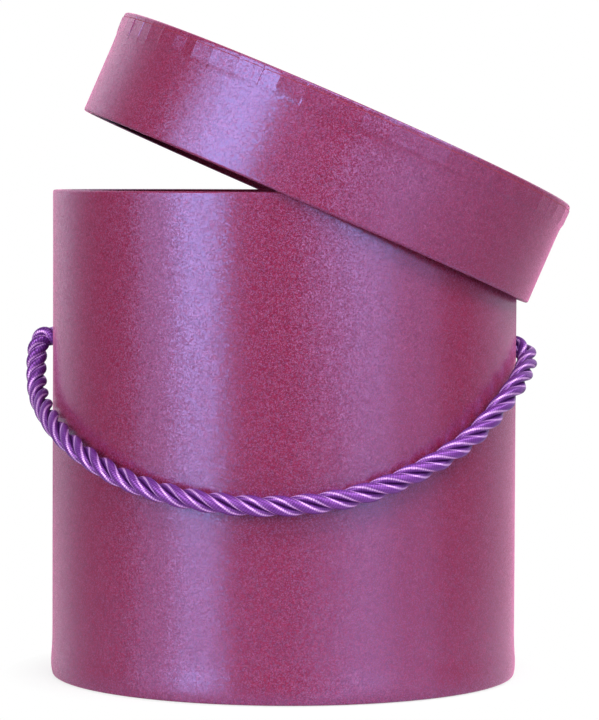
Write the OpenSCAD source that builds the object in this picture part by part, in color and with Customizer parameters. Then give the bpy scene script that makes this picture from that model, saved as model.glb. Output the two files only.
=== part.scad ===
// Round flower gift box: a paper-covered board tube, a deep lid and a cord handle.
// The origin is the middle of the underside. +Z is up, the cord holes are on X,
// and the cord hangs on the -Y side. The lid is laid at a slant on the rim.

/* [Box body] */
// Outer diameter of the round box
body_d = 180; // [150:1:240]
// Height of the box from the floor to its rim
body_h = 188; // [160:1:240]
// Thickness of the wall board
wall_t = 2; // [1.4:0.1:3]
// Thickness of the base board
base_t = 2; // [1:0.1:4]
// Depth of the cover paper folded down inside the rim
rim_fold = 15; // [6:0.5:30]
// Width of the cover paper folded under the base
foot_fold = 12; // [6:0.5:30]
// Band of folded cover paper left bare above the wall lining
lining_drop = 3; // [1:0.5:5]
// Band of folded cover paper left bare round the base disc
foot_bare = 6; // [2:0.5:6]

/* [Paper] */
// Thickness of the pearl cover paper
cover_t = 0.25; // [0.15:0.05:0.5]
// Thickness of the lining paper
lining_t = 0.25; // [0.15:0.05:0.5]
// Thickness of the disc of paper under the base
base_cover_t = 0.25; // [0.15:0.05:0.5]
// Rounding of a board edge under its paper
edge_r = 0.6; // [0.2:0.1:0.9]

/* [Lid] */
// Overall height of the lid
lid_h = 41; // [25:0.5:52]
// Gap all round between the closed lid and the box
lid_gap = 1; // [0.5:0.1:2]
// Thickness of the lid's rim board
lid_wall_t = 2; // [1.4:0.1:3]
// Thickness of the lid's top board
lid_top_t = 2; // [1.2:0.1:4]
// Depth of the cover paper folded up inside the lid's rim
lid_fold = 10; // [5:0.5:20]
// Band of folded cover paper left bare below the lid's lining
lid_lining_drop = 2.5; // [1:0.5:4]
// Rounding of the lid's top edge, over its paper
lid_edge_r = 1.2; // [0.6:0.1:2]
// Length of the top paper's tabs, folded down over the rim
tab_h = 8; // [4:0.5:15]
// Number of tabs
tab_count = 50; // [24:1:60]
// Width of the slot between two tabs
tab_notch = 2; // [0.5:0.5:5]
// Band of the top paper that shows above the rim paper
crease_h = 1.8; // [1.5:0.1:3.5]

/* [Resting lid] */
// Clearance between the lid's open edge and the wall on its low side
hook_gap = 1.8; // [0.5:0.1:5]
// Side the lid leans to, turned from +X towards +Y
lid_turn = 6; // [-40:1:40]
// Clearance left where the lid rests on the rim
seat_gap = 0.3; // [0.1:0.1:1]

/* [Cord handle] */
// Diameter of the twisted cord
cord_d = 8; // [5:0.5:8.5]
// Clearance round the cord in its holes
hole_gap = 0.3; // [0.1:0.1:1]
// Height of the left hole
left_hole_z = 130.5; // [120:0.5:140]
// Height of the right hole
right_hole_z = 128.5; // [120:0.5:140]
// Diameter of a knot
knot_d = 20; // [18:0.5:26]
// Length of a knot along the cord
knot_l = 15; // [11:0.5:20]
// Length of the loose end below a knot
tail_l = 16; // [4:1:30]
// Distance from a knot to the wall lining
knot_gap = 0.5; // [0.4:0.1:3]

/* [Hidden] */

// Every cut runs this far past the surface it leaves
overrun = 1;
// Sides of the cord's tube
cord_sides = 12;
$fn = 96;

pearl = [0.58, 0.17, 0.36];
lining = [0.32, 0.08, 0.2];
board = [0.66, 0.61, 0.54];
violet = [0.45, 0.22, 0.62];

// Radii of the box wall, from outside to inside
body_r = body_d / 2;
wall_ro = body_r - cover_t;
wall_ri = wall_ro - wall_t;
fold_r = wall_ri - cover_t;
lining_r = wall_ri - lining_t;

// Levels of the box, from the floor up
foot_z = base_cover_t + cover_t;
floor_z = foot_z + base_t;
floor_lining_z = floor_z + lining_t;
wall_top_z = body_h - cover_t;

// Radii of the lid, from inside to outside
lid_clear_r = body_r + lid_gap;
lid_fold_r = lid_clear_r + lining_t;
lid_board_ri = lid_fold_r + cover_t;
lid_board_ro = lid_board_ri + lid_wall_t;
lid_tab_r = lid_board_ro + cover_t;
lid_wrap_r = lid_tab_r + cover_t;

// Levels of the lid, from its open edge up
lid_top_z = lid_h - cover_t;
lid_rim_z = lid_top_z - lid_top_t;
lid_depth = lid_rim_z - lining_t;
tab_low_z = lid_h - tab_h;
wrap_top_z = lid_h - crease_h;

// Paper that climbs over a fold does so on a slope this high
step_h = 6 * cover_t;

// The slanted lid is hooked over one side of the rim. The underside of its top lies
// on the rim there, its open edge lies on the rim at two points further back, and the
// low side of that edge just clears the wall. Together these set its slant.
// cross_x is where the plane of the open edge cuts the plane of the rim.
function cross_x(tilt) = body_r - lid_depth / sin(tilt);
function edge_cos(tilt) =
    -sqrt(1 - (pow(body_r, 2) - pow(cross_x(tilt), 2)) / pow(lid_fold_r, 2));
function shift_x(tilt) = cross_x(tilt) - lid_fold_r * edge_cos(tilt) * cos(tilt);
function hook_room(tilt) = shift_x(tilt) + lid_fold_r * cos(tilt) - body_r;
function resting_tilt(low, high, halvings) =
    let (mid = (low + high) / 2)
        halvings == 0 ? mid
        : hook_room(mid) < hook_gap ? resting_tilt(mid, high, halvings - 1)
        : resting_tilt(low, mid, halvings - 1);

lid_tilt = resting_tilt(5, 60, 30);
lid_x = shift_x(lid_tilt);
lid_z = body_h + lid_fold_r * edge_cos(lid_tilt) * sin(lid_tilt) + seat_gap;

// The cord hangs from knot to knot, along points on its middle line
cord_route = [
    [-87, 0, 130.5], [-90, 0, 130.5], [-91, 0, 130.5], [-93.3, -0.1, 130.1],
    [-95.2, -0.4, 128.9], [-96.5, -1, 127], [-97.1, -1.8, 124.5], [-97.2, -3, 121],
    [-96.9, -5, 116.8], [-96.1, -9, 112.2], [-94.2, -15.8, 108], [-91.2, -25, 104.5],
    [-87.3, -36.4, 100.7], [-82, -47.3, 96.2], [-75, -57.6, 91.5], [-66.3, -67.4, 86.8],
    [-55.9, -76.2, 82.2], [-44, -83.6, 78.7], [-30.5, -89.5, 76.1], [-16, -93.2, 74.5],
    [-1, -94.6, 74], [14, -93.6, 74.8], [28.5, -90.2, 77], [42, -84.8, 81],
    [54, -77.8, 86], [65, -68.9, 91.8], [74, -59.1, 98], [81, -49, 105],
    [86.1, -39.3, 111], [90, -29.4, 116], [92.9, -19.6, 120.1], [94.9, -12, 123.1],
    [95.9, -7, 125.1], [96, -3.9, 126.6], [95.1, -1.5, 127.8], [93.3, -0.3, 128.4],
    [91, 0, 128.5], [90, 0, 128.5], [87, 0, 128.5]
];

// Outline of a board wall with rounded edges
module wall_outline(ri, ro, low, high, r) {
    translate([ri, low + r])
        square([ro - ri, high - low - 2 * r]);
    translate([ri + r, low])
        square([ro - ri - 2 * r, high - low]);
    for (x = [ri + r, ro - r], z = [low + r, high - r])
        translate([x, z])
            circle(r);
}

// Outline of a round top whose upper edge is rounded
module top_outline(ro, low, high, r) {
    translate([0, low])
        square([ro, high - low - r]);
    translate([0, low])
        square([ro - r, high - low]);
    translate([ro - r, high - r])
        circle(r);
}

// Outline of a ring cut from a sheet
module ring_outline(ri, ro, low, high) {
    translate([ri, low])
        square([ro - ri, high - low]);
}

// Bores for the cord, one on each side
module cord_bores() {
    reach = cover_t + wall_t + lining_t + overrun;
    for (hole = [[-body_r, left_hole_z], [body_r, right_hole_z]])
        translate([hole[0], 0, hole[1]])
            rotate([0, 90, 0])
                cylinder(r = cord_d / 2 + hole_gap, h = 2 * reach, center = true);
}

module wall_board() {
    color(board)
        difference() {
            rotate_extrude()
                wall_outline(wall_ri, wall_ro, foot_z, wall_top_z, edge_r);
            cord_bores();
        }
}

module base_board() {
    color(board)
        translate([0, 0, foot_z])
            cylinder(r = wall_ri, h = base_t);
}

// The cover paper runs up the wall, over the rim and down inside, and under the base
module wall_wrap_outline() {
    difference() {
        wall_outline(fold_r, body_r, base_cover_t, body_h, edge_r + cover_t);
        wall_outline(wall_ri, wall_ro, foot_z, wall_top_z, edge_r);
        translate([0, -overrun])
            square([wall_ri + edge_r, body_h - rim_fold + overrun]);
    }
    ring_outline(body_r - foot_fold, wall_ro - edge_r, base_cover_t, foot_z);
}

module wall_wrap() {
    color(pearl)
        difference() {
            rotate_extrude()
                wall_wrap_outline();
            cord_bores();
        }
}

// A lining lies on the board and laps over the edge of the folded cover paper
module lining_outline(board_r, over_r, low, step_low, step_high, high, in) {
    polygon([
        [board_r, low], [board_r, step_low], [over_r, step_high], [over_r, high],
        [over_r + in, high], [over_r + in, step_high], [board_r + in, step_low],
        [board_r + in, low]
    ]);
}

module wall_lining() {
    fold_low = body_h - rim_fold;
    color(lining)
        difference() {
            rotate_extrude()
                lining_outline(
                    wall_ri, fold_r, floor_lining_z, fold_low - step_h, fold_low,
                    body_h - lining_drop, -lining_t
                );
            cord_bores();
        }
}

module base_lining() {
    color(lining)
        translate([0, 0, floor_z])
            cylinder(r = wall_ri, h = lining_t);
}

module base_cover() {
    color(lining)
        cylinder(r = body_r - foot_bare, h = base_cover_t);
}

// Carries the lid's pieces from their own frame to the lid's resting place
module seated_lid() {
    translate([lid_x * cos(lid_turn), lid_x * sin(lid_turn), lid_z])
        rotate([0, lid_tilt, lid_turn])
            children();
}

module lid_rim_board() {
    color(board)
        seated_lid()
            rotate_extrude()
                difference() {
                    wall_outline(lid_board_ri, lid_board_ro, cover_t, lid_h, edge_r);
                    ring_outline(0, lid_wrap_r, lid_rim_z, lid_h + overrun);
                }
}

module lid_top_board() {
    color(board)
        seated_lid()
            rotate_extrude()
                intersection() {
                    top_outline(lid_board_ro, lid_rim_z, lid_top_z, lid_edge_r - cover_t);
                    ring_outline(0, lid_wrap_r, 0, lid_h);
                }
}

// The top paper covers the disc and folds down over the rim in tabs
module lid_top_cover() {
    notch_h = tab_h - crease_h - cover_t;
    color(pearl)
        seated_lid()
            difference() {
                rotate_extrude()
                    difference() {
                        top_outline(lid_tab_r, tab_low_z, lid_h, lid_edge_r);
                        top_outline(
                            lid_board_ro, tab_low_z - overrun, lid_top_z, lid_edge_r - cover_t
                        );
                    }
                for (i = [0:tab_count - 1])
                    rotate([0, 0, (i + 0.5) * 360 / tab_count])
                        translate([lid_board_ro - overrun, -tab_notch / 2, tab_low_z - overrun])
                            cube([cover_t + 2 * overrun, tab_notch, notch_h + overrun]);
            }
}

// Outline of a block whose side steps out to a wider radius
module bulge_outline(in_r, r, out_r, step_low, step_high, high) {
    polygon([
        [in_r, step_low], [r, step_low], [out_r, step_high], [out_r, high], [in_r, high]
    ]);
}

// The rim paper runs from the crease down over the tabs, round the open edge and up inside
module lid_rim_wrap_outline() {
    step_low = tab_low_z - step_h;
    mid_r = (lid_board_ri + lid_board_ro) / 2;
    difference() {
        union() {
            wall_outline(lid_fold_r, lid_tab_r, 0, wrap_top_z, edge_r + cover_t);
            bulge_outline(mid_r, lid_tab_r, lid_wrap_r, step_low, tab_low_z, wrap_top_z);
        }
        wall_outline(lid_board_ri, lid_board_ro, cover_t, lid_h + edge_r, edge_r);
        bulge_outline(mid_r, lid_board_ro, lid_tab_r, step_low, tab_low_z, lid_h);
        ring_outline(0, mid_r, lid_fold, lid_h);
    }
}

module lid_rim_wrap() {
    color(pearl)
        seated_lid()
            rotate_extrude()
                lid_rim_wrap_outline();
}

module lid_rim_lining() {
    color(lining)
        seated_lid()
            rotate_extrude()
                lining_outline(
                    lid_board_ri, lid_fold_r, lid_depth, lid_fold + step_h, lid_fold,
                    lid_lining_drop, -lining_t
                );
}

module lid_top_lining() {
    color(lining)
        seated_lid()
            translate([0, 0, lid_depth])
                cylinder(r = lid_board_ri, h = lining_t);
}

// A tube swept along a line of points, with one ring of corners at each point
function unit(v) = v / norm(v);
function across(v, t) = unit(v - (v * t) * t);
function heading(line, i) = unit(line[min(i + 1, len(line) - 1)] - line[max(i - 1, 0)]);
function carried(line, start) = [
    for (
        i = 0, n = across(start, heading(line, 0));
        i < len(line);
        i = i + 1, n = across(n, heading(line, min(i, len(line) - 1)))
    ) n
];
function ring(p, t, n, r, sides) = [
    for (k = [0:sides - 1])
        p + r * (cos(k * 360 / sides) * n + sin(k * 360 / sides) * cross(t, n))
];

module swept_tube(line, r, sides) {
    normals = carried(line, [0, 0, 1]);
    last = len(line) - 1;
    corners = [
        for (i = [0:last])
            each ring(line[i], heading(line, i), normals[i], r, sides)
    ];
    walls = [
        for (i = [0:last - 1], k = [0:sides - 1])
            let (a = i * sides + k, b = i * sides + (k + 1) % sides)
                each [[a, a + sides, b + sides], [a, b + sides, b]]
    ];
    caps = [
        for (k = [1:sides - 2])
            each [[0, k, k + 1], [last * sides, last * sides + k + 1, last * sides + k]]
    ];
    polyhedron(points = corners, faces = concat(walls, caps));
}

module handle_cord() {
    color(violet)
        swept_tube(cord_route, cord_d / 2, cord_sides);
}

// An overhand knot as two thick turns of cord round its core, with the loose end down.
// It is drawn with its flat face on the YZ plane and lies towards +X.
module knot() {
    turn_r = cord_d / 2;
    loop_r = knot_d / 2 - turn_r;
    far_x = knot_l - turn_r;
    rotate([0, 90, 0])
        union() {
            cylinder(r = loop_r, h = knot_l - turn_r);
            for (x = [turn_r, far_x])
                translate([0, 0, x])
                    rotate_extrude()
                        translate([loop_r, 0])
                            circle(turn_r);
        }
    translate([far_x, 0, -knot_d / 2 - tail_l])
        cylinder(r = turn_r, h = tail_l + knot_d / 2);
}

module left_knot() {
    color(violet)
        translate([-lining_r + knot_gap, 0, left_hole_z])
            knot();
}

module right_knot() {
    color(violet)
        translate([lining_r - knot_gap, 0, right_hole_z])
            mirror([1, 0, 0])
                knot();
}

wall_board();
base_board();
wall_wrap();
wall_lining();
base_lining();
base_cover();
lid_rim_board();
lid_top_board();
lid_top_cover();
lid_rim_wrap();
lid_rim_lining();
lid_top_lining();
handle_cord();
left_knot();
right_knot();
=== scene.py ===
"""Round flower gift box of covered board, with a deep slanted lid and a twisted cord handle."""

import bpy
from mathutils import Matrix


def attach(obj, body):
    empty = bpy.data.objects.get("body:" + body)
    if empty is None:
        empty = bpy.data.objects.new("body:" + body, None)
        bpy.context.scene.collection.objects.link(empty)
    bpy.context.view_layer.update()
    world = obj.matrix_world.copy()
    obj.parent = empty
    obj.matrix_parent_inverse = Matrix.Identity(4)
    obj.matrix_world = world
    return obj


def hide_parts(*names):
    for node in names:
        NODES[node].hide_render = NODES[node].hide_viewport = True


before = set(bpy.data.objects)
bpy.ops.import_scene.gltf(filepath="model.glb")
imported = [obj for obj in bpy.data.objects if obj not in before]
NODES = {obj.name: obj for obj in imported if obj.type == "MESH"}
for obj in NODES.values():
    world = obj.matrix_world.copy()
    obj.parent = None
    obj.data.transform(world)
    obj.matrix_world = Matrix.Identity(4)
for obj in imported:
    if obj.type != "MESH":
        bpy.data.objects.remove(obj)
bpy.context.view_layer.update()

import math

import bpy
import numpy as np
from bpy.props import FloatProperty, FloatVectorProperty, IntProperty, PointerProperty
from bpy.types import Operator, Panel, PropertyGroup
from mathutils import Matrix, Vector

bl_info = {
    "name": "Flower gift box",
    "version": (1, 0, 0),
    "blender": (4, 5, 0),
    "location": "3D View > Sidebar > Flower box",
    "description": "Dresses the round flower box in pearl paper and hangs its cord handle",
    "category": "Object",
}

MM = 0.001

# Thickness of the cover paper, and of a papered wall from its outside to the paper folded inside
PAPER = 0.25 * MM
FOLDED_WALL = 2.5 * MM

# Points of a turned sheet closer than this are one, and heights closer than this are level
MERGE = 0.02 * MM
LEVEL = 0.01 * MM

# The frame of the slanted lid: the middle of its open edge, its turn and its slant
LID_MIDDLE = (7.9712 * MM, 181.663 * MM)
LID_TURN = math.radians(6)
LID_TILT = math.radians(23.2673)

# The camera's turn round the box, and its pan, pitch and roll in radians
CAMERA_TURN = math.radians(3)
CAMERA_PAN, CAMERA_PITCH, CAMERA_ROLL = 0.00428435, 0.0542038, 0.00504433

# The cord's middle line from knot to knot, in millimetres
CORD_ROUTE = [
    (-87, 0, 130.5), (-90, 0, 130.7), (-91, 0, 130.9), (-92.9, -0.1, 131),
    (-94.6, -0.4, 130.1), (-95.8, -1, 128.1), (-96.4, -1.8, 125.2), (-96.6, -3, 121.4),
    (-96.4, -5, 117), (-95.7, -9, 112.2), (-94, -15.8, 108), (-91.2, -25, 104.5),
    (-87.3, -36.4, 100.7), (-82, -47.3, 96.2), (-75, -57.6, 91.5), (-66.3, -67.4, 86.8),
    (-55.9, -76.2, 82.2), (-44, -83.6, 78.7), (-30.5, -89.5, 76.1), (-16, -93.2, 74.5),
    (-1, -94.6, 74), (14, -93.6, 74.8), (28.5, -90.2, 77), (42, -84.8, 81),
    (54, -77.8, 86), (65, -68.9, 91.8), (74, -59.1, 98), (81, -49, 104.8),
    (86.1, -39.3, 110.6), (90, -29.4, 115.3), (92.4, -19.6, 119), (93.7, -12, 121.6),
    (94.2, -7, 123.2), (94.2, -3.9, 124.5), (93.5, -1.6, 125.9), (92.3, -0.4, 127),
    (91, 0, 127.8), (90, 0, 128.2), (87, 0, 128.5),
]

# How far the cord runs in one turn of its strands, at shares of its length
CORD_LAY = [
    (0, 15), (0.055, 15), (0.085, 21), (0.13, 34), (0.2, 37), (0.26, 32), (0.34, 30),
    (0.5, 31), (0.66, 31), (0.78, 34), (0.86, 38), (0.93, 38), (0.97, 28), (1, 22),
]

# One knot's middle line, from the wall inwards: along the cord, across it and up
KNOT_LINE = [
    (0, 0, 0), (3, 0, 0), (6, 0.3, 0.6), (9.2, 1.6, 2.8), (11, 4.2, 4.2), (10.8, 6.2, 0.8),
    (9.8, 4.8, -4.2), (8.6, 0, -6.2), (7.4, -4.8, -4), (6.4, -6.2, 0.5), (5.4, -4.6, 4.4),
    (4.6, 0, 6.2), (4.2, 4.6, 4.2), (4.1, 6.2, -0.6), (4.6, 4.6, -4.4), (6.6, 1.6, -6.6),
    (9, -0.4, -8.2), (10.8, -0.8, -11.5), (11.2, -0.3, -16), (11.1, 0.2, -20.5), (10.9, 0.3, -25.5),
]


class PaperSettings(PropertyGroup):
    """Colours and finish of the papers and boards"""

    pearl: FloatVectorProperty(
        name="Pearl paper", description="Body colour of the cover paper",
        subtype="COLOR", size=3, min=0, max=1, default=(0.206, 0.0095, 0.042),
    )
    flake: FloatVectorProperty(
        name="Pearl flakes", description="Colour of the mica flakes in the cover paper",
        subtype="COLOR", size=3, min=0, max=1, default=(1.0, 0.45, 0.8),
    )
    flake_share: FloatProperty(
        name="Flakes", description="Share of the surface that the mica flakes cover",
        subtype="FACTOR", min=0, max=1, default=0.026,
    )
    roughness: FloatProperty(
        name="Roughness", description="Roughness of the cover paper",
        subtype="FACTOR", min=0, max=1, default=0.215,
    )
    grain: FloatProperty(
        name="Grain", description="Size of the mica grain",
        subtype="DISTANCE", unit="LENGTH", min=0.0001, max=0.005, default=0.37 * MM,
    )
    core: FloatVectorProperty(
        name="Paper edge", description="Colour of the cut edge of the cover paper",
        subtype="COLOR", size=3, min=0, max=1, default=(0.2, 0.008, 0.03),
    )
    lining: FloatVectorProperty(
        name="Lining paper", description="Colour of the lining paper",
        subtype="COLOR", size=3, min=0, max=1, default=(0.075, 0.008, 0.028),
    )
    board: FloatVectorProperty(
        name="Board", description="Colour of the grey board",
        subtype="COLOR", size=3, min=0, max=1, default=(0.33, 0.28, 0.22),
    )


class BoxSettings(PropertyGroup):
    """Sizes of the box body's cover paper"""

    radius: FloatProperty(
        name="Radius", description="Outer radius of the box body",
        unit="LENGTH", min=0.05, max=0.2, default=90 * MM,
    )
    height: FloatProperty(
        name="Height", description="Height of the box body",
        unit="LENGTH", min=0.05, max=0.4, default=188 * MM,
    )
    edge: FloatProperty(
        name="Edge rounding", description="Rounding of the papered rim",
        unit="LENGTH", min=0.0002, max=0.005, default=0.85 * MM,
    )
    seam: FloatProperty(
        name="Seam", description="Width of the paper's overlap down the back",
        unit="LENGTH", min=0.002, max=0.03, default=12 * MM,
    )
    bulge: FloatProperty(
        name="Foot bulge", description="How far the foot of the wall stands out",
        unit="LENGTH", min=0, max=0.003, default=0.5 * MM,
    )
    pleats: IntProperty(
        name="Pleats", description="Number of pleats in the paper folded under the base",
        min=12, max=120, default=60,
    )


class LidSettings(PropertyGroup):
    """Sizes of the lid's cover papers"""

    radius: FloatProperty(
        name="Radius", description="Outer radius of the rim board in its paper",
        unit="LENGTH", min=0.05, max=0.2, default=93.75 * MM,
    )
    height: FloatProperty(
        name="Height", description="Height of the lid",
        unit="LENGTH", min=0.01, max=0.1, default=41 * MM,
    )
    crease: FloatProperty(
        name="Crease", description="Band of the top paper that shows above the rim paper",
        unit="LENGTH", min=0.0005, max=0.005, default=1.8 * MM,
    )
    # this cut edge band is coloured as the dyed paper edge, and also serves as painted shade for
    # the dark crease line
    cut: FloatProperty(
        name="Cut edge", description="Height of the rim paper's worn cut edge",
        unit="LENGTH", min=0.0001, max=0.002, default=0.28 * MM,
    )
    tab: FloatProperty(
        name="Tab", description="Length of the tabs that show through the rim paper",
        unit="LENGTH", min=0.002, max=0.02, default=8 * MM,
    )
    tabs: IntProperty(
        name="Tabs", description="Number of tabs round the rim", min=12, max=80, default=50,
    )
    flare: FloatProperty(
        name="Flare", description="How far the rim stands out over the tabs",
        unit="LENGTH", min=0, max=0.002, default=0.3 * MM,
    )


class CordSettings(PropertyGroup):
    """Sizes and colour of the cord handle"""

    diameter: FloatProperty(
        name="Diameter", description="Diameter of the twisted cord",
        unit="LENGTH", min=0.002, max=0.02, default=8 * MM,
    )
    strands: IntProperty(
        name="Strands", description="Number of strands twisted into the cord",
        min=2, max=4, default=3,
    )
    thread: FloatProperty(
        name="Thread", description="Spacing of the satin threads along a strand",
        unit="LENGTH", min=0.0001, max=0.002, default=0.8 * MM,
    )
    colour: FloatVectorProperty(
        name="Cord", description="Colour of the satin cord",
        subtype="COLOR", size=3, min=0, max=1, default=(0.19, 0.042, 0.33),
    )
    # painted highlight: this colour is painted as a light line along each strand's edges, standing
    # in for the satin's highlights
    shine: FloatVectorProperty(
        name="Shine", description="Colour of the taut threads along a strand's edges",
        subtype="COLOR", size=3, min=0, max=1, default=(0.75, 0.4, 0.9),
    )


class StageSettings(PropertyGroup):
    """Camera, lamps and floor"""

    distance: FloatProperty(
        name="Camera distance", description="Distance of the camera from the box's axis",
        unit="LENGTH", min=0.3, max=10, default=1363.33 * MM,
    )
    camera_height: FloatProperty(
        name="Camera height", description="Height of the camera above the floor",
        unit="LENGTH", min=0, max=3, default=196.13 * MM,
    )
    lens: FloatProperty(
        name="Lens", description="Focal length on a sensor 36 mm high, in millimetres",
        min=20, max=400, default=175.34,
    )
    key: FloatProperty(
        name="Left lamps", description="Radiance of the left strip lamp",
        min=0, max=50, default=5.5,
    )
    fill: FloatProperty(
        name="Right lamps", description="Radiance that the right lamps share",
        min=0, max=50, default=1.6,
    )
    top: FloatProperty(
        name="High lamps", description="Radiance that the high lamps share",
        min=0, max=50, default=2.3,
    )
    ambient: FloatProperty(
        name="Room", description="Level of the room's light on the box", min=0, max=2, default=0.1,
    )


# The groups of settings, by their names in the scene
GROUPS = {
    "flower_paper": PaperSettings,
    "flower_body": BoxSettings,
    "flower_lid": LidSettings,
    "flower_cord": CordSettings,
    "flower_stage": StageSettings,
}


# ---- modelling steps ----


def deselect():
    """Leaves nothing selected, in object mode."""
    if bpy.context.object and bpy.context.object.mode != "OBJECT":
        bpy.ops.object.mode_set(mode="OBJECT")
    bpy.ops.object.select_all(action="DESELECT")


def make_active(obj):
    """Selects one object alone."""
    deselect()
    bpy.context.view_layer.objects.active = obj
    obj.select_set(True)


def arc(centre, radius, start, end, steps):
    """Points on an arc in the outline's plane, from one angle to another in degrees."""
    angles = np.radians(np.linspace(start, end, steps + 1))
    return [(centre[0] + radius * math.cos(a), centre[1] + radius * math.sin(a)) for a in angles]


def turn(name, outline, steps):
    """Draws an outline vertex by vertex, then spins it round the Z axis into a smooth sheet."""
    deselect()
    bpy.ops.mesh.primitive_plane_add(size=MM, location=(outline[0][0], 0, outline[0][1]))
    obj = bpy.context.object
    obj.name = obj.data.name = name
    mesh, set_mode = bpy.ops.mesh, bpy.ops.object.mode_set
    set_mode(mode="EDIT")
    mesh.select_all(action="SELECT")
    mesh.merge(type="CENTER")
    for (r0, z0), (r1, z1) in zip(outline, outline[1:]):
        mesh.extrude_vertices_move(TRANSFORM_OT_translate={"value": (r1 - r0, 0, z1 - z0)})
    mesh.select_all(action="SELECT")
    mesh.spin(steps=steps, angle=math.tau, center=(0, 0, 0), axis=(0, 0, 1))
    mesh.select_all(action="SELECT")
    mesh.remove_doubles(threshold=MERGE)
    mesh.normals_make_consistent(inside=False)
    set_mode(mode="OBJECT")
    bpy.ops.object.transform_apply(location=True, rotation=True, scale=True)
    face = max(obj.data.polygons, key=lambda p: math.hypot(p.center.x, p.center.y))
    if face.normal.dot(face.center * Vector((1, 1, 0))) < 0:
        set_mode(mode="EDIT")
        mesh.select_all(action="SELECT")
        mesh.flip_normals()
        set_mode(mode="OBJECT")
    return obj


def read_points(obj):
    """The mesh's points as an array."""
    flat = np.empty(len(obj.data.vertices) * 3)
    obj.data.vertices.foreach_get("co", flat)
    return flat.reshape(-1, 3)


def write_points(obj, points):
    """Puts an array of points back into the mesh."""
    obj.data.vertices.foreach_set("co", np.ascontiguousarray(points).ravel())
    obj.data.update()


def thicken(obj):
    """Gives a paper sheet its thickness inwards, with its cut edges in the second material."""
    make_active(obj)
    solid = obj.modifiers.new("Paper thickness", "SOLIDIFY")
    solid.thickness = PAPER
    solid.offset = -1
    solid.use_even_offset = False
    solid.material_offset_rim = 1
    bpy.ops.object.modifier_apply(modifier=solid.name)


def smooth(obj, degrees):
    """Shades the piece smooth up to an angle."""
    make_active(obj)
    bpy.ops.object.shade_smooth_by_angle(angle=math.radians(degrees))


def seat(obj):
    """Carries a piece from the lid's own frame to its resting place."""
    make_active(obj)
    reach, up = LID_MIDDLE
    obj.matrix_world = (
        Matrix.Translation((reach * math.cos(LID_TURN), reach * math.sin(LID_TURN), up))
        @ Matrix.Rotation(LID_TURN, 4, "Z")
        @ Matrix.Rotation(LID_TILT, 4, "Y")
    )
    bpy.ops.object.transform_apply(location=True, rotation=True, scale=True)


def dress_paper(obj):
    """Gives a paper sheet its two materials: its face, then its cut edge."""
    obj.data.materials.append(pearl_paper())
    obj.data.materials.append(paper_core())


def finish_piece(obj, body, nodes):
    """Gives a new piece its body and the nodes that it stands for."""
    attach(obj, body)
    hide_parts(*nodes)


def smoothstep(low, high, values):
    """A soft step from 0 to 1 between two values."""
    share = np.clip((values - low) / (high - low), 0, 1)
    return share * share * (3 - 2 * share)


# ---- materials ----


# Where the values of a noise mostly lie
NOISE_RANGE = (0.3, 0.7)
# The colour sockets of a mix node: its two inputs and its output
MIX_FIRST, MIX_SECOND, MIX_RESULT = 6, 7, 2
# How far the pearl paper's flakes lean, and the factor that gives each one more random number
FLAKE_LEAN = 0.12
FLAKE_SHUFFLE = 57.0
# The random numbers from which a flake is dull, and how much rougher it is
DULL_FLAKES = (0.72, 0.76)
DULL_ROUGHER = 0.26
# The cord's UV map, which runs once round a strand and in metres along it
STRAND_UV = "strand"
# Threads that start side by side round a strand
THREAD_STARTS = 3
# Where a strand's painted shade and painted highlight change, from 0 at its inner side to 0.5 at
# its crown
GROOVE_SHADE_END = (0.21, 0.28)
PAINTED_HIGHLIGHT_START = (0.295, 0.325)
PAINTED_HIGHLIGHT_END = (0.36, 0.39)


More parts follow.
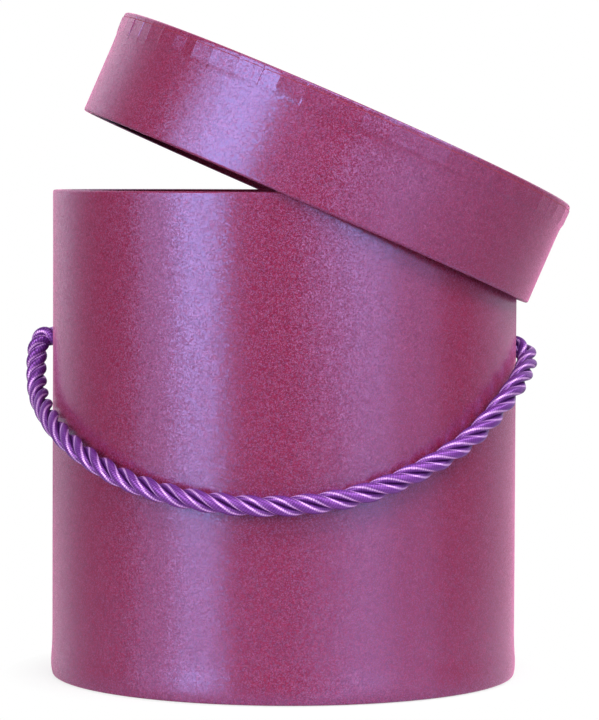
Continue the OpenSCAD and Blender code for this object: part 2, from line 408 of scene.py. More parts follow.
class Nodes:
    """Short hand for building one material's nodes."""

    def __init__(self, name):
        self.material = bpy.data.materials.new(name)
        self.material.use_nodes = True
        self.tree = self.material.node_tree
        self.shader = self.tree.nodes["Principled BSDF"]

    def add(self, kind, links=(), **values):
        """Adds a node, sets its properties and sockets, and links what feeds it."""
        node = self.tree.nodes.new(kind)
        for key, value in values.items():
            if hasattr(node, key):
                setattr(node, key, value)
            else:
                node.inputs[key.replace("_", " ")].default_value = value
        for socket, source in links:
            self.tree.links.new(source, node.inputs[socket])
        return node

    def feed(self, socket, value):
        """Links a socket to what feeds it, or sets its number or colour."""
        if isinstance(value, bpy.types.NodeSocket):
            self.tree.links.new(value, socket)
        else:
            socket.default_value = (*value, 1) if isinstance(value, tuple) else value

    def set(self, **values):
        """Feeds the shader's own sockets."""
        for key, value in values.items():
            self.feed(self.shader.inputs[key.replace("_", " ")], value)

    def math(self, operation, *values):
        """A maths node on sockets or numbers."""
        node = self.add("ShaderNodeMath", operation=operation)
        for socket, value in zip(node.inputs, values):
            self.feed(socket, value)
        return node.outputs[0]

    def weigh(self, first, second, share):
        """One number by a share of it, and another by the rest."""
        return self.math(
            "ADD", self.math("MULTIPLY", first, share), self.math("MULTIPLY", second, 1 - share)
        )

    def noise(self, size, detail=2.0):
        """Noise whose features are about the given size, on the piece's own coordinates."""
        coords = self.add("ShaderNodeTexCoord").outputs["Object"]
        node = self.add("ShaderNodeTexNoise", [("Vector", coords)], Scale=1 / size, Detail=detail)
        return node.outputs["Fac"]

    def flakes(self, size):
        """Random cells of about the given size: a lean for the normal, and three random numbers."""
        coords = self.add("ShaderNodeTexCoord").outputs["Object"]
        cells = self.add("ShaderNodeTexVoronoi", [("Vector", coords)], Scale=1 / size)
        cell = cells.outputs["Color"]
        middle = self.add("ShaderNodeVectorMath", [(0, cell)], operation="SUBTRACT")
        middle.inputs[1].default_value = (0.5, 0.5, 0.5)
        tilt = self.add(
            "ShaderNodeVectorMath", [(0, middle.outputs[0])], operation="SCALE", Scale=FLAKE_LEAN
        )
        parts = self.add("ShaderNodeSeparateXYZ", [(0, cell)]).outputs
        chance = self.math("FRACT", self.math("MULTIPLY", parts["X"], FLAKE_SHUFFLE))
        return tilt.outputs[0], parts["X"], parts["Z"], chance

    def ramp(self, value, low, high, first=0.0, second=1.0):
        """Maps a value from one range to another, clamped."""
        node = self.add("ShaderNodeMapRange", [("Value", value)])
        for index, number in enumerate((low, high, first, second)):
            node.inputs[index + 1].default_value = number
        return node.outputs["Result"]

    def spread(self, noise, first=0.0, second=1.0):
        """Maps the usual range of a noise to another."""
        return self.ramp(noise, *NOISE_RANGE, first, second)

    def mix(self, share, first, second, blend="MIX"):
        """Mixes two colours or sockets."""
        node = self.add("ShaderNodeMix", data_type="RGBA", blend_type=blend)
        sockets = (node.inputs["Factor"], node.inputs[MIX_FIRST], node.inputs[MIX_SECOND])
        for socket, value in zip(sockets, (share, first, second)):
            self.feed(socket, value)
        return node.outputs[MIX_RESULT]

    def shades(self, share, colour, dark, light):
        """Mixes a darker and a lighter shade of one colour."""
        return self.mix(share, scaled(colour, dark), scaled(colour, light))

    def bump(self, height, distance, strength):
        """A bump node."""
        links = [("Height", height)]
        node = self.add("ShaderNodeBump", links, Strength=strength, Distance=distance)
        return node.outputs["Normal"]


def scaled(colour, factor):
    """A colour made lighter or darker."""
    return tuple(min(1.0, c * factor) for c in colour)


def made_once(name):
    """Builds a material when it is first asked for, and finds it by its name after that."""

    def wrap(build):
        def finish():
            if name not in bpy.data.materials:
                build(Nodes(name))
            return bpy.data.materials[name]

        return finish

    return wrap


@made_once("raspberry_pearl")
def pearl_paper(n):
    """Raspberry cover paper with mica flakes, which shines blue-violet and is pink at its edges."""
    paper = bpy.context.scene.flower_paper
    cloud = n.noise(9 * MM, 3.0)
    fibre = n.noise(1.1 * MM, 3.0)
    tilt, pick, tone, chance = n.flakes(paper.grain)
    body = n.shades(n.ramp(n.weigh(fibre, tone, 0.4), 0.25, 0.75), paper.pearl, 0.78, 1.22)
    # half of the flakes show, from faintly to four times the share that all cover
    spark = n.ramp(pick, 0.5, 1.0, 0.0, 4 * paper.flake_share)
    share = n.math("MULTIPLY", spark, n.spread(cloud, 0.85, 1.15))
    n.set(Base_Color=n.mix(share, body, tuple(paper.flake)), Metallic=share)
    gloss = n.spread(fibre, paper.roughness + 0.03, paper.roughness - 0.03)
    n.set(Roughness=n.math("ADD", gloss, n.ramp(chance, *DULL_FLAKES, 0.0, DULL_ROUGHER)))
    uneven = n.bump(fibre, 0.03 * MM, 0.5)
    leaning = n.add("ShaderNodeVectorMath", [(0, uneven), (1, tilt)], operation="ADD")
    even = n.add("ShaderNodeVectorMath", [(0, leaning.outputs[0])], operation="NORMALIZE")
    n.set(
        Normal=even.outputs[0], IOR=1.7, Specular_IOR_Level=1.0, Specular_Tint=(0.21, 0.41, 1.0),
        Sheen_Weight=1.0, Sheen_Roughness=0.3, Sheen_Tint=(1.0, 0.28, 0.6),
    )


@made_once("paper_core")
def paper_core(n):
    """Cut edge of the cover paper, dyed through; at the lid's crease it also serves as painted
    shade for the dark crease line.
    """
    paper = bpy.context.scene.flower_paper
    n.set(Base_Color=n.shades(n.noise(0.8 * MM), paper.core, 0.7, 1.3), Roughness=0.8)


@made_once("plum_lining")
def lining_paper(n):
    """Dark matt lining paper with a fine felt."""
    paper = bpy.context.scene.flower_paper
    felt, cloud = n.noise(0.7 * MM, 3.0), n.noise(14 * MM)
    tone = n.spread(n.weigh(felt, cloud, 0.6))
    n.set(Base_Color=n.shades(tone, paper.lining, 0.8, 1.25))
    n.set(Roughness=n.spread(felt, 0.62, 0.78), Specular_IOR_Level=0.35)
    n.set(Normal=n.bump(felt, 0.04 * MM, 0.7))


@made_once("grey_board")
def grey_board(n):
    """Pressed grey board with fibres and specks."""
    paper = bpy.context.scene.flower_paper
    fibre, speck = n.noise(1.2 * MM, 4.0), n.noise(0.5 * MM, 1.0)
    tone = n.shades(n.spread(fibre), paper.board, 0.8, 1.2)
    n.set(Base_Color=n.mix(n.ramp(speck, 0.68, 0.74), tone, scaled(paper.board, 0.35)))
    n.set(Normal=n.bump(fibre, 0.08 * MM, 0.8), Roughness=0.9)


@made_once("satin_cord")
def satin_cord(n):
    """Violet satin strands, with threads that run round each strand, painted shade towards the
    grooves and a painted highlight line along each strand.
    """
    cord = bpy.context.scene.flower_cord
    uv = n.add("ShaderNodeUVMap", uv_map=STRAND_UV).outputs["UV"]
    split = n.add("ShaderNodeSeparateXYZ", [("Vector", uv)])
    around, along = split.outputs["X"], split.outputs["Y"]
    slant = n.math("MULTIPLY", around, THREAD_STARTS * math.tau)
    phase = n.math("ADD", slant, n.math("MULTIPLY", along, math.tau / cord.thread))
    stripe = n.math("MULTIPLY_ADD", n.math("SINE", phase), 0.5, 0.5)
    uneven = n.noise(0.9 * MM, 3.0)
    cloud = n.noise(6 * MM)
    tone = n.weigh(stripe, uneven, 0.55)
    # from the inner side of a strand to its crown: painted shade towards the groove, a painted
    # highlight line, and the duller crown
    crown = n.math("ABSOLUTE", n.math("SUBTRACT", around, 0.5))
    crown = n.math("ADD", crown, n.math("MULTIPLY", n.math("SUBTRACT", uneven, 0.5), 0.03))
    # painted highlight: a light line in the shine colour along each side of a strand
    painted_highlight_line = n.math("MULTIPLY", n.ramp(crown, *PAINTED_HIGHLIGHT_START), n.ramp(crown, *PAINTED_HIGHLIGHT_END, 1.0, 0.0))
    # painted shade: the strand's colour darkens to 0.7 towards its inner side, where it meets the
    # next strand in a groove
    base = n.shades(n.ramp(crown, *GROOVE_SHADE_END), cord.colour, 0.7, 1.0)
    thread = n.mix(n.ramp(tone, 0.2, 0.8), (0.5, 0.5, 0.5), (1.0, 1.0, 1.0))
    n.set(Base_Color=n.mix(1.0, thread, n.mix(painted_highlight_line, base, tuple(cord.shine)), "MULTIPLY"))
    n.set(Roughness=n.spread(cloud, 0.2, 0.26))
    height = n.math("ADD", stripe, n.math("MULTIPLY", uneven, 0.6))
    n.set(Normal=n.bump(height, 0.08 * MM, 0.7))
    n.set(Metallic=0.35, IOR=1.7, Specular_Tint=(0.85, 0.5, 1.0))


@made_once("cut_end")
def cut_end(n):
    """The sealed cut ends of the strands."""
    cord = bpy.context.scene.flower_cord
    n.set(Base_Color=n.shades(n.noise(0.6 * MM), cord.colour, 0.2, 0.5), Roughness=0.5)


# ---- the twisted cord ----


# Points between two given ones of a line, before it is spaced evenly
LINE_STEPS = 24
# A strand's radius, and its distance from the cord's middle, as shares of the cord's radius
STRAND_RADIUS = 0.465
STRAND_REACH = 0.537
# The knots are pulled a little thinner than the cord, and twisted at this lay
KNOT_THINNER = 0.93
KNOT_LAY = [(0, 15), (1, 17)]


def unit(vectors):
    """The vectors at length 1."""
    return vectors / np.linalg.norm(vectors, axis=1)[:, None]


def run_along(line):
    """How far along a line each of its points lies."""
    return np.concatenate([[0], np.cumsum(np.linalg.norm(np.diff(line, axis=0), axis=1))])


def smooth_line(points, spacing):
    """A smooth line through the points at even spacing, and how far along it each point lies."""
    p = np.array(points, float)
    p = np.vstack([2 * p[0] - p[1], p, 2 * p[-1] - p[-2]])
    fine = []
    for a, b, c, d in zip(p, p[1:], p[2:], p[3:]):
        t1 = np.linalg.norm(b - a) ** 0.5
        t2 = t1 + np.linalg.norm(c - b) ** 0.5
        t3 = t2 + np.linalg.norm(d - c) ** 0.5
        for t in np.linspace(t1, t2, LINE_STEPS, endpoint=False)[:, None]:
            ab = (t1 - t) / t1 * a + t / t1 * b
            bc = (t2 - t) / (t2 - t1) * b + (t - t1) / (t2 - t1) * c
            cd = (t3 - t) / (t3 - t2) * c + (t - t2) / (t3 - t2) * d
            abc = (t2 - t) / t2 * ab + t / t2 * bc
            bcd = (t3 - t) / (t3 - t1) * bc + (t - t1) / (t3 - t1) * cd
            fine.append(((t2 - t) * abc + (t - t1) * bcd) / (t2 - t1))
    fine = np.array([*fine, p[-2]])
    run = run_along(fine)
    even = np.linspace(0, run[-1], max(2, round(run[-1] / spacing)) + 1)
    return np.column_stack([np.interp(even, run, fine[:, k]) for k in range(3)]), even


def carried_frames(line):
    """Headings and a side direction carried along the line without twist."""
    heading = unit(np.gradient(line, axis=0))
    side = np.cross(heading[0], (0.0, 1.0, 0.0))
    sides = []
    for t in heading:
        side = side - t * side.dot(t)
        side /= np.linalg.norm(side)
        sides.append(side)
    return heading, np.array(sides)


def twist_angles(run, lay):
    """How far the strands have turned at each point of the line."""
    share, turns = zip(*lay)
    rate = math.tau / (np.interp(run / run[-1], share, turns) * MM)
    return np.concatenate([[0], np.cumsum((rate[1:] + rate[:-1]) / 2 * np.diff(run))])


def twisted_cord(name, points, radius, lay, spacing=0.5 * MM, sides=24):
    """Twists strands round the line through the points, and returns the piece and its line."""
    line, run = smooth_line(points, spacing)
    heading, side = carried_frames(line)
    across = np.cross(heading, side)
    strands = bpy.context.scene.flower_cord.strands
    twist = twist_angles(run, lay)
    ply, reach = STRAND_RADIUS * radius, STRAND_REACH * radius
    rings = len(line)
    spin = np.arange(sides) * math.tau / sides
    points, faces, uvs, ends = [], [], [], []
    for k in range(strands):
        angle = twist + k * math.tau / strands
        out = np.cos(angle)[:, None] * side + np.sin(angle)[:, None] * across
        centre = line + reach * out
        along = unit(np.gradient(centre, axis=0))
        up = unit(out - along * (out * along).sum(1)[:, None])
        beside = np.cross(along, up)
        length = run_along(centre)
        first = len(points)
        for i in range(rings):
            ring = np.cos(spin)[:, None] * up[i] + np.sin(spin)[:, None] * beside[i]
            points.extend(centre[i] + ply * ring)
        for i in range(rings - 1):
            for j in range(sides):
                a, b = first + i * sides + j, first + i * sides + (j + 1) % sides
                faces.append((a, b, b + sides, a + sides))
                u0, u1, v0, v1 = j / sides, (j + 1) / sides, length[i], length[i + 1]
                uvs.extend([(u0, v0), (u1, v0), (u1, v1), (u0, v1)])
        for ring, flip in ((0, True), (rings - 1, False)):
            loop = [first + ring * sides + j for j in range(sides)]
            ends.append(len(faces))
            faces.append(tuple(reversed(loop)) if flip else tuple(loop))
            uvs.extend([(0.0, 0.0)] * sides)
    mesh = bpy.data.meshes.new(name)
    mesh.from_pydata([tuple(p) for p in points], [], faces)
    layer = mesh.uv_layers.new(name=STRAND_UV)
    layer.data.foreach_set("uv", np.array(uvs, float).ravel())
    mesh.materials.append(satin_cord())
    mesh.materials.append(cut_end())
    for index in ends:
        mesh.polygons[index].material_index = 1
    obj = bpy.data.objects.new(name, mesh)
    bpy.context.scene.collection.objects.link(obj)
    smooth(obj, degrees=50)
    return obj, line


class FLOWERBOX_OT_camera(Operator):
    """Add the camera at the photograph's viewing angle"""

    bl_idname = "flower_box.camera"
    bl_label = "Camera"
    bl_options = {"REGISTER", "UNDO"}

    def execute(self, context):
        stage = context.scene.flower_stage
        bpy.ops.object.camera_add()
        camera = context.object
        camera.name = "camera"
        camera.data.sensor_width = 36
        camera.data.lens = stage.lens
        camera.data.clip_start = 0.05
        camera.matrix_world = (
            Matrix.Translation((
                stage.distance * math.sin(CAMERA_TURN),
                -stage.distance * math.cos(CAMERA_TURN),
                stage.camera_height,
            ))
            @ Matrix.Rotation(CAMERA_TURN - CAMERA_PAN, 4, "Z")
            @ Matrix.Rotation(math.pi / 2 - CAMERA_PITCH, 4, "X")
            @ Matrix.Rotation(CAMERA_ROLL, 4, "Z")
        )
        context.scene.camera = camera
        return {"FINISHED"}


class FLOWERBOX_OT_cord(Operator):
    """Twist the satin cord handle and tie its two knots inside the wall"""

    bl_idname = "flower_box.cord"
    bl_label = "Cord handle"
    bl_options = {"REGISTER", "UNDO"}

    def execute(self, context):
        radius = context.scene.flower_cord.diameter / 2
        route = [Vector(p) * MM for p in CORD_ROUTE]
        cord, line = twisted_cord("cord_handle", route, radius, CORD_LAY)
        for name, start, inward, node in (
            ("knot_left", route[0], 1, "left_knot"),
            ("knot_right", route[-1], -1, "right_knot"),
        ):
            points = [start + Vector((inward * x, inward * y, z)) * MM for x, y, z in KNOT_LINE]
            knot, _ = twisted_cord(name, points, KNOT_THINNER * radius, KNOT_LAY, 0.6 * MM, 14)
            finish_piece(knot, "handle", [node])
        finish_piece(cord, "handle", ["handle_cord"])
        length = float(np.linalg.norm(np.diff(line, axis=0), axis=1).sum())
        tuple(route[0])
        [tuple(p) for p in line]
        return {"FINISHED"}


# How far the soft side of an overlap runs down
SEAM_EASE = 1.5 * MM


def seam_lift(angle, radius, start, width):
    """The overlap where a strip's end lies over its start: a sharp edge, then a soft way down."""
    run = (angle - start) % math.tau * radius
    return PAPER * np.where(run <= width, smoothstep(width, width - SEAM_EASE, run), 0)


# The rows of points of the body's paper, in millimetres: out from the axis under the base, up the
# wall, and down inside the rim
UNDER_ROWS = (78, 79.5, 81, 82.5, 84, 85.2, 86.4, 87.6)
WALL_ROWS = (2.5, 4, 6, 8.5, 11, 14, 18, 23, 29, *range(36, 184, 8), 184.5)
INSIDE_ROWS = (184.5, 181, 177, 173)
# Rows of points round a folded edge, and columns of points to one pleat
EDGE_ROWS = 6
PLEAT_COLUMNS = 8
# The height of the paper under the base, and the rounding of the foot
FOOT = 0.25 * MM
FOOT_EDGE = 0.7 * MM
# The middle of the foot's bulge, and its reach
BULGE_MIDDLE = 5 * MM
BULGE_REACH = 5.5 * MM
# Where round the wall its overlap starts
SEAM_START = math.radians(99)
PLEAT_DEPTH = 0.19 * MM
# The gap round the cord in its holes, and the punch's length
HOLE_GAP = 0.3 * MM
PUNCH = 12 * MM


class FLOWERBOX_OT_body(Operator):
    """Cover the box wall with pearl paper, folded over the rim and under the base"""

    bl_idname = "flower_box.body"
    bl_label = "Body paper"
    bl_options = {"REGISTER", "UNDO"}

    def execute(self, context):
        body = context.scene.flower_body
        obj = turn("body_paper", self.outline(body), PLEAT_COLUMNS * body.pleats)
        write_points(obj, self.shaped(body, read_points(obj)))
        dress_paper(obj)
        thicken(obj)
        hole = context.scene.flower_cord.diameter / 2 + HOLE_GAP
        for side, height in ((-1, CORD_ROUTE[0][2]), (1, CORD_ROUTE[-1][2])):
            self.punch(obj, side * body.radius, height * MM, hole)
        smooth(obj, degrees=38)
        finish_piece(obj, "box", ["wall_wrap"])
        return {"FINISHED"}

    def outline(self, body):
        """The paper's outline from under the base, up the wall and down inside the rim."""
        r, top, edge = body.radius, body.height, body.edge
        outline = [(x * MM, FOOT) for x in UNDER_ROWS]
        outline += arc((r - FOOT_EDGE, FOOT + FOOT_EDGE), FOOT_EDGE, -90, 0, EDGE_ROWS)
        outline += [(r, z * MM) for z in WALL_ROWS]
        outline += arc((r - edge, top - edge), edge, 0, 90, EDGE_ROWS)
        outline += arc((r - FOLDED_WALL + edge, top - edge), edge, 90, 180, EDGE_ROWS)
        return outline + [(r - FOLDED_WALL, z * MM) for z in INSIDE_ROWS]

    def shaped(self, body, points):
        """Adds the foot's bulge, slight waves, the overlap down the back and the pleats."""
        r, top = body.radius, body.height
        angle = np.arctan2(points[:, 1], points[:, 0]) % math.tau
        radius = np.hypot(points[:, 0], points[:, 1])
        z = points[:, 2]
        # columns close up where the overlap ends, so that its edge is crisp
        near = np.abs(angle - SEAM_START) < math.tau / (PLEAT_COLUMNS * body.pleats)
        angle = np.where(near & (angle >= SEAM_START), SEAM_START + 0.12 * MM / r, angle)
        angle = np.where(near & (angle < SEAM_START), SEAM_START - 0.02 * MM / r, angle)
        outer = radius > r - 0.6 * FOLDED_WALL
        wall = smoothstep(0, 1, (radius - (r - FOLDED_WALL)) / (0.5 * FOLDED_WALL))
        out = body.bulge * np.exp(-(((z - BULGE_MIDDLE) / BULGE_REACH) ** 2))
        out = out * smoothstep(0.3 * MM, 3 * MM, z)
        # broad waves round the wall, narrower ones, and a ripple under the rim
        out += 0.05 * MM * np.sin(3 * angle + 1.1) * np.cos(z / (47 * MM) + angle)
        out += 0.03 * MM * np.sin(7 * angle + z / (21 * MM))
        out += 0.02 * MM * np.sin(23 * angle + 0.7) * smoothstep(top - 9 * MM, top - 1 * MM, z)
        out += seam_lift(angle, r, SEAM_START, body.seam) * outer
        radius = radius + out * wall * (z > FOOT + LEVEL)
        # pleats in the paper folded under the base
        saw = (angle / math.tau * body.pleats + 0.16 * np.sin(5 * angle)) % 1
        flat = (z <= FOOT + LEVEL) & (radius < r)
        depth = PLEAT_DEPTH * saw**1.5 * smoothstep(r - 0.8 * MM, r - 4 * MM, radius)
        z = np.where(flat, z - depth, z)
        return np.column_stack([radius * np.cos(angle), radius * np.sin(angle), z])

    def punch(self, obj, x, z, radius):
        """Punches a hole for the cord through the paper."""
        deselect()
        bpy.ops.mesh.primitive_cylinder_add(
            vertices=40, radius=radius, depth=PUNCH,
            location=(x, 0, z), rotation=(0, math.pi / 2, 0),
        )
        cutter = bpy.context.object
        make_active(obj)
        cut = obj.modifiers.new("Cord hole", "BOOLEAN")
        cut.object, cut.operation, cut.solver = cutter, "DIFFERENCE", "EXACT"
        bpy.ops.object.modifier_apply(modifier=cut.name)
        bpy.data.objects.remove(cutter)


# The tabs that the camera sees: where each begins round the rim, in degrees, and how far its
# edges lean in or out, in millimetres
TABS_SEEN = [
    (-166.5, 0.08), (-161.2, 0.1), (-155.3, 0.1), (-151, -0.05), (-146, 0.0), (-140.4, -0.26),
    (-137, 0.28), (-133.5, -0.14), (-128.2, -0.06), (-120.5, 0.04), (-114.4, 0.16), (-110, -0.2),
    (-103.5, 0.05), (-96.6, -0.06), (-89.6, 0.08), (-82.4, -0.04), (-75, 0.06), (-68, -0.05),
    (-61, 0.03), (-54.3, 0.07), (-47.8, -0.04), (-42, 0.1), (-36, -0.16), (-30.6, 0.05),
    (-25.6, 0.08),
]
# The tabs with a gap beside them that shows, and the groove that such a gap leaves
SLITS_SEEN = [9, 10]
SLIT_SEEN = 0.04 * MM
# Where a tab's columns of points lie, as shares of its width
TAB_SHARES = [0, 0.02, 0.12, 0.24, 0.36, 0.48, 0.6, 0.72, 0.84, 0.94, 0.985]
# The other tabs: how far each strays from an even spacing, as a share of it, and the most that it
# leans, in millimetres
TAB_STRAY = 0.15
TAB_LEAN_MM = 0.16
# What all the tabs vary by, in millimetres: how high they lie, and where they end
TAB_LIFT_MM = 0.08
TAB_END_MM = 0.8
# The share of the other tabs with a gap beside them that shows, and its groove in millimetres
GAP_SHARE = 0.25
GAP_MM = (0.03, 0.08)
# Seeds of the tabs' places and of their relief
PLACE_SEED, RELIEF_SEED = 12, 31
# The rows of points of the lid's papers, in millimetres: out over the top, down its tabs, then down
# the rim paper over the tabs, down to the open edge, and up inside it
TOP_ROWS = (6, 14, 24, 36, 48, 60, 70, 78, 84, 88, 90.5)
TAB_ROWS = (38.6, 37, 35.5, 34, 33)
OVER_TAB_ROWS = (38.2, 37.4, 36.4, 35.4, 34.6, 34, 33.4, 32.9)
RIM_ROWS = (30.5, 29, 27, 24.5, 21, 17, 13, 9, 6, 3.5, 2)
RIM_INSIDE_ROWS = (2.5, 5, 7.5, 10)
# The rounding of the lid's open edge and of its top edge, and the rows of points round the latter
LID_EDGE = 0.85 * MM
TOP_EDGE = 1 * MM
TOP_EDGE_ROWS = 8
# Where round the rim its overlap starts, and its width
LID_SEAM_START = math.radians(80)
LID_SEAM = 10 * MM
# How far the rim paper's cut edge dips at a gap that shows, and how widely
NICK_DEPTH = 0.45 * MM
NICK_WIDTH = 0.7 * MM


def tab_layout(count):
    """Where the tabs begin round the rim, and how far each leans: those seen, then the rest."""
    rng = np.random.default_rng(PLACE_SEED)
    seen = np.array(TABS_SEEN)
    first, last, rest = seen[0, 0] + 360, seen[-1, 0], count - len(seen)
    pitch = (first - last) / (rest + 1)
    others = last + pitch * (np.arange(rest) + 1 + rng.uniform(-TAB_STRAY, TAB_STRAY, rest))
    edges = np.radians(np.concatenate([seen[:, 0], others]))
    lean = np.concatenate([seen[:, 1], rng.uniform(-TAB_LEAN_MM, TAB_LEAN_MM, rest)])
    return edges, lean * MM


def tab_columns(points, count):
    """Crowds a sheet's columns at the tabs' edges: each point's angle, its tab and its share of
    the way across, and the tabs' widths."""
    columns = len(TAB_SHARES) * count
    turned = np.arctan2(points[:, 1], points[:, 0]) % math.tau
    column = np.rint(turned / (math.tau / columns)).astype(int) % columns
    tab, share = column // len(TAB_SHARES), np.array(TAB_SHARES)[column % len(TAB_SHARES)]
    edges, _ = tab_layout(count)
    width = np.append(edges[1:], edges[0] + math.tau) - edges
    return edges[tab] + share * width[tab], tab, share, width


def tab_relief(lid, tab, share, width, z):
    """How far the tabs under the rim paper push it out."""
    rng = np.random.default_rng(RELIEF_SEED)
    _, lean = tab_layout(lid.tabs)
    high, long = lid.height, lid.tab
    lift = rng.uniform(0, TAB_LIFT_MM, lid.tabs) * MM
    low = high - long + rng.uniform(-TAB_END_MM, TAB_END_MM, lid.tabs) * MM
    reach = smoothstep(low[tab] - 2.5 * MM, low[tab] + 1.5 * MM, z)
    shows = rng.random(lid.tabs) < GAP_SHARE
    slit = np.where(shows, rng.uniform(*GAP_MM, lid.tabs), 0) * MM
    slit[:len(TABS_SEEN)] = 0
    slit[SLITS_SEEN] = SLIT_SEEN
    sag = 4 * share * (1 - share) * lid.radius * (1 - np.cos(width[tab] / 2))
    flare = lid.flare * smoothstep(high - 1.8 * long, high - 0.25 * long, z)
    groove = slit[tab] * (share < 0.01) * smoothstep(high - 0.9 * long, high - 0.5 * long, z)
    # the paper is round again where it bends over the top's edge
    bend = 1 - smoothstep(high - 1.7 * MM, high - 0.4 * MM, z)
    return flare + bend * (reach * (lean[tab] * (share - 0.5) * 2 + lift[tab] - sag) - groove)


class FLOWERBOX_OT_lid(Operator):
    """Cover the lid's top with tabbed paper and wrap its rim"""

    bl_idname = "flower_box.lid"
    bl_label = "Lid papers"
    bl_options = {"REGISTER", "UNDO"}

    def execute(self, context):
        lid = context.scene.flower_lid
        crease = lid.height - lid.crease
        cover = self.shaped("lid_top_paper", self.top_outline(lid), lid)
        rim = self.shaped("lid_rim_paper", self.rim_outline(lid, crease), lid, crease - lid.cut)
        # the cut edge at the crease takes the dyed edge colour: partly the real cut edge, partly
        # painted shade for the dark line at the crease
        for face in rim.data.polygons:
            if max(rim.data.vertices[v].co.z for v in face.vertices) > crease - LEVEL:
                face.material_index = 1
        for obj, node in ((cover, "lid_top_cover"), (rim, "lid_rim_wrap")):
            thicken(obj)
            smooth(obj, degrees=30)
            seat(obj)
            finish_piece(obj, "lid", [node])
        return {"FINISHED"}

    def top_outline(self, lid):
        """The top paper's outline, from the middle to the ends of its tabs."""
        r, top = lid.radius, lid.height
        outline = [(0, top)] + [(x * MM, top) for x in TOP_ROWS]
        outline += arc((r - TOP_EDGE, top - TOP_EDGE), TOP_EDGE, 90, 0, TOP_EDGE_ROWS)
        return outline + [(r, z * MM) for z in TAB_ROWS]

    def rim_outline(self, lid, crease):
        """The rim paper's outline, from the crease down, round the open edge and up inside."""
        r, outer = lid.radius, lid.radius + PAPER
        outline = [(r + 0.02 * MM, crease), (outer, crease - lid.cut)]
        outline += [(outer, z * MM) for z in OVER_TAB_ROWS]
        # the step in below the ends of the tabs
        outline += [(r + 0.6 * PAPER, 32.4 * MM), (r, 31.5 * MM)]
        outline += [(r, z * MM) for z in RIM_ROWS]
        outline += arc((r - LID_EDGE, LID_EDGE), LID_EDGE, 0, -90, EDGE_ROWS)
        outline += arc((r - FOLDED_WALL + LID_EDGE, LID_EDGE), LID_EDGE, -90, -180, EDGE_ROWS)
        return outline + [(r - FOLDED_WALL, z * MM) for z in RIM_INSIDE_ROWS]

    def shaped(self, name, outline, lid, nicked=1.0):
        """Turns a paper, presses the tabs' relief into it, and nicks it above a height."""
        obj = turn(name, outline, lid.tabs * len(TAB_SHARES))
        points = read_points(obj)
        radius, z = np.hypot(points[:, 0], points[:, 1]), points[:, 2]
        angle, tab, share, width = tab_columns(points, lid.tabs)
        side = smoothstep(lid.radius - 2.4 * MM, lid.radius - 0.6 * MM, radius)
        out = tab_relief(lid, tab, share, width, z)
        # slight waves round the rim, and its overlap
        out = out + 0.05 * MM * np.sin(4 * angle + 0.4) * np.cos(z / (13 * MM))
        lift = seam_lift(angle, lid.radius, LID_SEAM_START, LID_SEAM)
        out = out + lift * (z < lid.height - 1.2 * lid.crease)
        radius = radius + out * side
        # the top isn't quite flat
        wave = 0.12 * MM * np.sin(2 * angle + 1) * np.sin(radius / (31 * MM))
        z = z + wave * (z > lid.height - 0.3 * MM)
        # the rim paper's cut edge dips where the gap between two tabs shows
        beside = np.minimum(share, 1 - share) * width[tab] * lid.radius
        gap = np.isin(np.where(share < 0.5, tab, (tab + 1) % lid.tabs), SLITS_SEEN)
        nick = NICK_DEPTH * gap * np.exp(-((beside / NICK_WIDTH) ** 2))
        z = z - nick * (z > nicked - LEVEL)
        write_points(obj, np.column_stack([radius * np.cos(angle), radius * np.sin(angle), z]))
        dress_paper(obj)
        return obj


# The CAD's own pieces that stay, by their finish
BOARDS = ("wall_board", "base_board", "lid_rim_board", "lid_top_board")
LININGS = ("wall_lining", "base_lining", "lid_rim_lining", "lid_top_lining", "base_cover")


class FLOWERBOX_OT_linings(Operator):
    """Finish the boards, the linings and the base paper"""

    bl_idname = "flower_box.linings"
    bl_label = "Boards and linings"
    bl_options = {"REGISTER", "UNDO"}

    def execute(self, context):
        for names, finish in ((BOARDS, grey_board), (LININGS, lining_paper)):
            for name in names:
                NODES[name].data.materials.clear()
                NODES[name].data.materials.append(finish())
        return {"FINISHED"}


# The lamps: azimuth from the front in degrees, distance and height, size, and their radiance as a
# share of one of the stage's levels
LAMPS = [
    ("left_strip", -38.5, 1.3, 0.49, (0.62, 0.98), "key", 1),
    ("left_middle", -62, 1.4, 0.49, (0.49, 0.98), "key", 0.31),
    ("left_side", -82, 1.45, 0.57, (0.51, 1.14), "key", 0.015),
    ("left_upper", -59, 1.4, 0.76, (0.36, 0.32), "key", 0.35),
    ("left_rear", -135, 1.4, 0.57, (0.7, 1.14), "key", 0.045),
    ("front_soft", -6, 1.5, 0.72, (0.62, 0.9), "fill", 0.33),
    ("right_soft", 25, 1.5, 0.58, (0.64, 0.9), "fill", 1.75),
    ("right_strip", 45, 1.4, 0.4, (0.5, 0.75), "fill", 1.08),
    ("right_wide", 55, 1.45, 0.4, (1.5, 0.75), "fill", 0.7),
    ("front_high", 18, 0.85, 1.15, (0.8, 0.35), "top", 3.6),
    ("right_high", 80, 0.95, 1.05, (0.9, 0.4), "top", 3.2),
    ("top_strip", 5, 0.3, 1.6, (1.2, 0.25), "top", 2),
]
# The point that the lamps face
LAMP_AIM = Vector((0, 0, 0.11))
# The floor as the box reflects it: how light it is near and far, and where it changes
FLOOR_NEAR, FLOOR_FAR = (0.68, 0.68, 0.68), (0.3, 0.3, 0.3)
FLOOR_DARKENS = (0.12, 0.4)
# The floor as the camera sees it: how plain its white is near the box, and where it is all plain
PLAIN_NEAR = 0.75
PLAIN_FROM = (0.09, 0.11)
# How much brighter the room is behind the box, and where it brightens
REAR_BRIGHTER = 9
REAR_FROM = (0.2, 0.7)


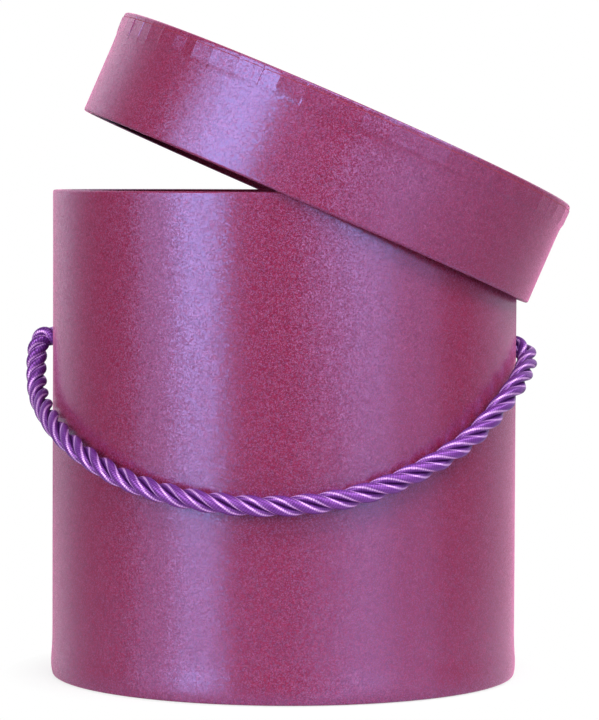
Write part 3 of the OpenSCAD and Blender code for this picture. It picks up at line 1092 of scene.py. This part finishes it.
class FLOWERBOX_OT_stage(Operator):
    """Add the pale floor, the soft lamps and the white surroundings"""

    bl_idname = "flower_box.stage"
    bl_label = "Stage"
    bl_options = {"REGISTER", "UNDO"}

    def execute(self, context):
        stage = context.scene.flower_stage
        deselect()
        bpy.ops.mesh.primitive_plane_add(size=12, location=(0, 0, -0.1 * MM))
        floor = context.object
        floor.name = "floor"
        floor.data.materials.append(self.floor_material())
        for name, azimuth, away, height, size, level, share in LAMPS:
            self.panel(name, azimuth, away, height, size, share * getattr(stage, level))
        self.surroundings(context.scene, stage.ambient)
        context.scene.view_settings.view_transform = "Standard"
        return {"FINISHED"}

    def panel(self, name, azimuth, away, height, size, radiance):
        """A rectangular lamp that faces the box, at an azimuth from the front."""
        turned = math.radians(azimuth)
        place = (away * math.sin(turned), -away * math.cos(turned), height)
        bpy.ops.object.light_add(type="AREA", location=place)
        lamp = bpy.context.object
        lamp.name = name
        lamp.data.shape = "RECTANGLE"
        lamp.data.size, lamp.data.size_y = size
        lamp.data.energy = radiance * math.pi * size[0] * size[1]
        lamp.visible_camera = False
        aim = LAMP_AIM - Vector(place)
        lamp.rotation_euler = aim.to_track_quat("-Z", "Y").to_euler()

    def floor_material(self):
        """A soft sheen for the box to reflect; for the camera matt white that fades to plain."""
        n = Nodes("floor_white")
        n.set(Roughness=0.12)
        place = n.add("ShaderNodeTexCoord").outputs["Object"]
        away = n.add("ShaderNodeVectorMath", [(0, place)], operation="LENGTH").outputs["Value"]
        n.set(Base_Color=n.mix(n.ramp(away, *FLOOR_DARKENS), FLOOR_NEAR, FLOOR_FAR))
        plain = n.ramp(away, *PLAIN_FROM, PLAIN_NEAR, 1.0)
        matt = n.add("ShaderNodeBsdfDiffuse", Color=(0.9, 0.9, 0.9, 1))
        white = n.add("ShaderNodeEmission", Color=(1, 1, 1, 1), Strength=1.0)
        seen = n.add(
            "ShaderNodeMixShader", [(0, plain), (1, matt.outputs[0]), (2, white.outputs[0])]
        )
        path = n.add("ShaderNodeLightPath")
        both = n.add(
            "ShaderNodeMixShader",
            [(0, path.outputs["Is Camera Ray"]), (1, n.shader.outputs[0]), (2, seen.outputs[0])],
        )
        n.tree.links.new(both.outputs[0], n.tree.nodes["Material Output"].inputs["Surface"])
        return n.material

    def surroundings(self, scene, level):
        """A room that is bright behind the box, dimmer in front, and white to the camera."""
        world = scene.world or bpy.data.worlds.new("room")
        scene.world = world
        world.use_nodes = True
        tree = world.node_tree
        tree.nodes.clear()
        new, link = tree.nodes.new, tree.links.new
        where = new("ShaderNodeSeparateXYZ")
        link(new("ShaderNodeTexCoord").outputs["Generated"], where.inputs[0])
        depth = new("ShaderNodeMapRange")
        link(where.outputs["Y"], depth.inputs["Value"])
        for index, value in enumerate((*REAR_FROM, level, REAR_BRIGHTER * level)):
            depth.inputs[index + 1].default_value = value
        path = new("ShaderNodeLightPath")
        strength = new("ShaderNodeMix")
        link(path.outputs["Is Camera Ray"], strength.inputs["Factor"])
        link(depth.outputs[0], strength.inputs[2])
        strength.inputs[3].default_value = 1.0
        shine = new("ShaderNodeBackground")
        shine.inputs["Color"].default_value = (1, 1, 1, 1)
        link(strength.outputs[0], shine.inputs["Strength"])
        link(shine.outputs[0], new("ShaderNodeOutputWorld").inputs["Surface"])


class FLOWERBOX_PT_panel(Panel):
    """Lists the box's pieces and their settings"""

    bl_idname = "FLOWERBOX_PT_panel"
    bl_label = "Flower gift box"
    bl_space_type = "VIEW_3D"
    bl_region_type = "UI"
    bl_category = "Flower box"

    def draw(self, context):
        for group, settings in GROUPS.items():
            box = self.layout.box()
            box.label(text=group.removeprefix("flower_").title())
            for key in settings.__annotations__:
                box.prop(getattr(context.scene, group), key)
        for operator in PIECES:
            self.layout.operator(operator.bl_idname)


PIECES = (
    FLOWERBOX_OT_camera,
    FLOWERBOX_OT_cord,
    FLOWERBOX_OT_body,
    FLOWERBOX_OT_lid,
    FLOWERBOX_OT_linings,
    FLOWERBOX_OT_stage,
)


def register():
    for cls in (*GROUPS.values(), *PIECES, FLOWERBOX_PT_panel):
        bpy.utils.register_class(cls)
    for name, cls in GROUPS.items():
        setattr(bpy.types.Scene, name, PointerProperty(type=cls))


def unregister():
    for name in GROUPS:
        delattr(bpy.types.Scene, name)
    for cls in (FLOWERBOX_PT_panel, *reversed(PIECES), *reversed(GROUPS.values())):
        bpy.utils.unregister_class(cls)


def main():
    """Makes every piece in order."""
    register()
    bpy.ops.flower_box.camera()
    bpy.ops.flower_box.cord()
    bpy.ops.flower_box.body()
    bpy.ops.flower_box.lid()
    bpy.ops.flower_box.linings()
    bpy.ops.flower_box.stage()


if __name__ == "__main__":
    main()
